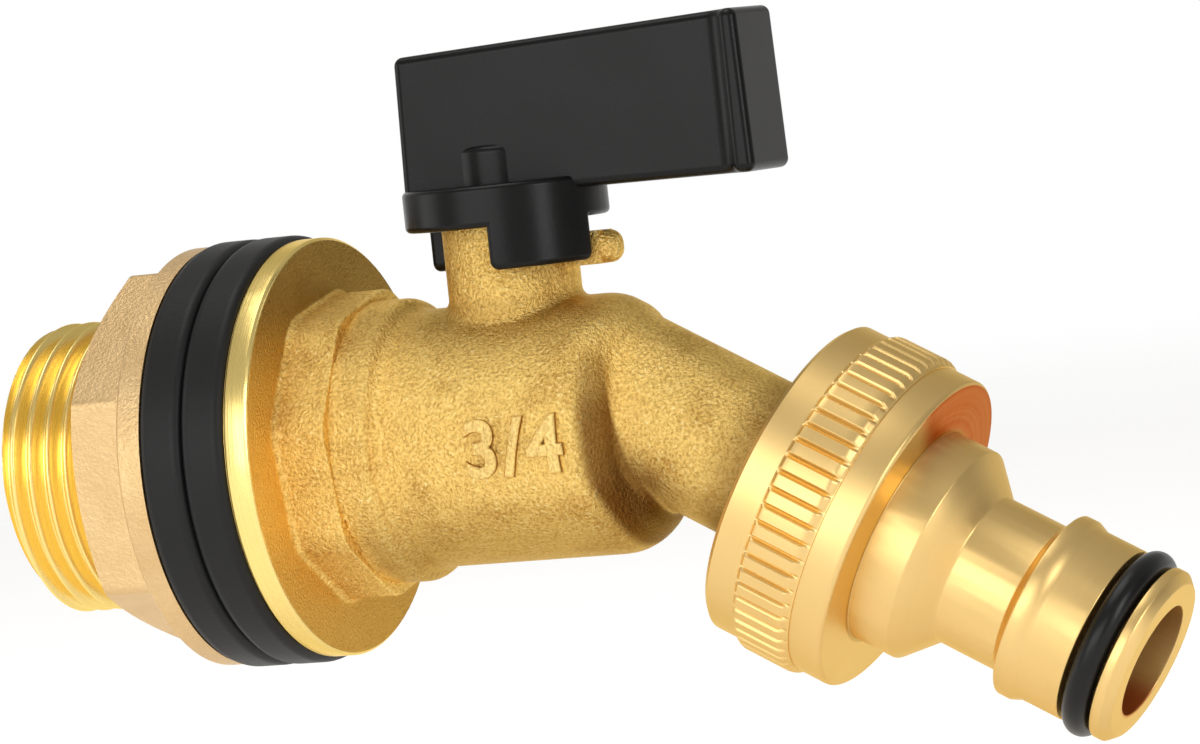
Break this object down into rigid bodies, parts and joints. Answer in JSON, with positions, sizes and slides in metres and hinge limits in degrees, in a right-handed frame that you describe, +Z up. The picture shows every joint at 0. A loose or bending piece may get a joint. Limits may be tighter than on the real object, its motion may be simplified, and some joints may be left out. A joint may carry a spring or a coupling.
{
  "type": "water butt tap",
  "caption": "Lever ball tap in cast brass that clamps through a water butt wall with a flanged nut and rubber washers, with a bent spout and a stepped nose for a hose clip.",
  "frame": {"origin": "centre of the body flange's rear face, on the shank axis, where the tap sits against the tank wall", "axes": "+X from the tank to the spout along the shank, +Z up the lever's stem, +Y completes the frame"},
  "size_m": [0.1061, 0.0386, 0.0657],
  "materials": {
    "cast_brass": "sand cast, bright, fine grain; machined thread and flange rim",
    "nut_brass": "pale as-cast brass",
    "turned_brass": "satin turned brass",
    "lever_plastic": "black moulded plastic, semi-gloss",
    "black_rubber": "charcoal rubber, semi-matte",
    "seat_plastic": "white low-friction plastic",
    "ball_plate": "plated and polished",
    "screw_steel": "zinc plated"
  },
  "bodies": {
    "tap": {"tap_body": "cast_brass", "lock_nut": "nut_brass", "outer_tank_washer": "black_rubber", "inner_tank_washer": "black_rubber", "front_seat_ring": "seat_plastic", "rear_seat_ring": "seat_plastic", "seat_retainer": "turned_brass", "stem_thrust_washer": "seat_plastic", "hose_connector": "turned_brass", "connector_washer": "black_rubber", "nose_o_ring": "black_rubber"},
    "lever": {"lever_handle": "lever_plastic", "handle_screw": "screw_steel", "valve_stem": "turned_brass", "lower_stem_o_ring": "black_rubber", "upper_stem_o_ring": "black_rubber", "valve_ball": "ball_plate"}
  },
  "joints": [
    {"name": "lever_turn", "type": "hinge", "parent": "tap", "child": "lever", "pos_m": [0.02096, 0, 0.0189], "axis": [0, 0, 1], "range_deg": [-90, 0]}
  ]
}
